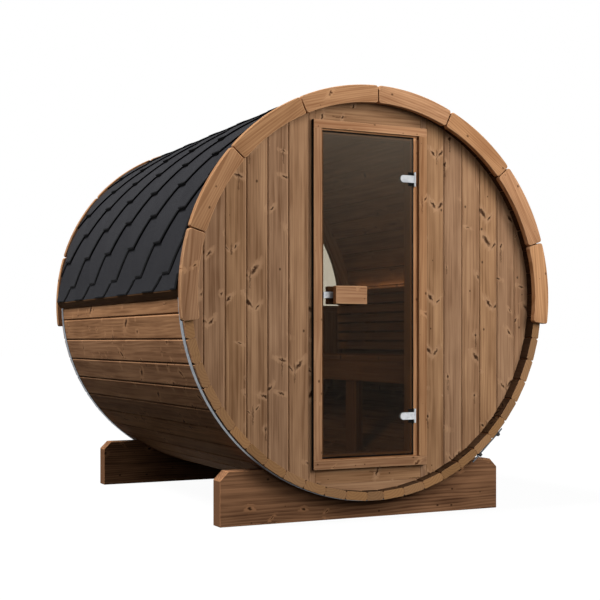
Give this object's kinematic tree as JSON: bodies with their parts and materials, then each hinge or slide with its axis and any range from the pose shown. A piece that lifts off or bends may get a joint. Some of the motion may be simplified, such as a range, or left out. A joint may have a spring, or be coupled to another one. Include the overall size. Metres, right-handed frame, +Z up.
{
  "type": "barrel sauna",
  "caption": "Coopered timber barrel sauna on two cradles, with a shingled upper half, a hinged bronze glass door, steel straps and a half-moon rear window.",
  "frame": {"origin": "on the ground, midway along and across the barrel", "axes": "+Z up; +Y along the barrel from the door to the rear wall, so the door faces -Y; +X to the right of someone who faces the door"},
  "size_m": [2.028, 2.1652, 2.085],
  "materials": {
    "dark_timber": "sawn, dark stained",
    "stave_timber": "planed, oiled, knotty",
    "galvanised_steel": "galvanised",
    "black_steel": "black, satin",
    "wall_timber": "planed, oiled, knotty",
    "frame_timber": "planed, oiled",
    "black_seal": "matte",
    "satin_steel": "satin",
    "bronze_glass": "bronze tint",
    "window_glass": "clear",
    "shingle": "mineral granules, matte",
    "bench_timber": "planed, untreated"
  },
  "bodies": {
    "shell": {"front_cradle": "dark_timber", "rear_cradle": "dark_timber", "staves_bottom_right": "stave_timber", "staves_right": "stave_timber", "staves_top_right": "stave_timber", "staves_top_left": "stave_timber", "staves_left": "stave_timber", "staves_bottom_left": "stave_timber", "front_strap": "galvanised_steel", "rear_strap": "galvanised_steel", "strap_lugs": "black_steel", "strap_rods": "galvanised_steel", "front_wall_left": "wall_timber", "front_wall_right": "wall_timber", "front_wall_header": "wall_timber", "front_wall_apron": "wall_timber", "door_studs": "wall_timber", "door_jamb_left": "frame_timber", "door_jamb_right": "frame_timber", "door_head": "frame_timber", "door_sill": "frame_timber", "door_frame_seal": "black_seal", "hinge_plates": "satin_steel", "rear_wall": "wall_timber", "window_rail": "wall_timber", "window_frame": "wall_timber", "window_glass": "window_glass", "front_ring": "frame_timber", "rear_ring": "frame_timber", "eave_batten_left": "dark_timber", "eave_batten_right": "dark_timber", "roof_left": "shingle", "roof_right": "shingle", "roof_ridge": "shingle", "bench_frame": "bench_timber", "bench_seat": "bench_timber", "bench_fascia": "bench_timber", "backrest_uprights": "bench_timber", "backrest_slats": "bench_timber"},
    "door": {"door_glass": "bronze_glass", "hinge_clamps": "satin_steel", "handle_outer": "frame_timber", "handle_inner": "frame_timber", "handle_spacers": "satin_steel", "latch_plate": "satin_steel"}
  },
  "joints": [
    {"name": "door_hinge", "type": "hinge", "parent": "shell", "child": "door", "pos_m": [0.247, -1.01, 1.074], "axis": [0, 0, 1], "range_deg": [0, 100]}
  ]
}
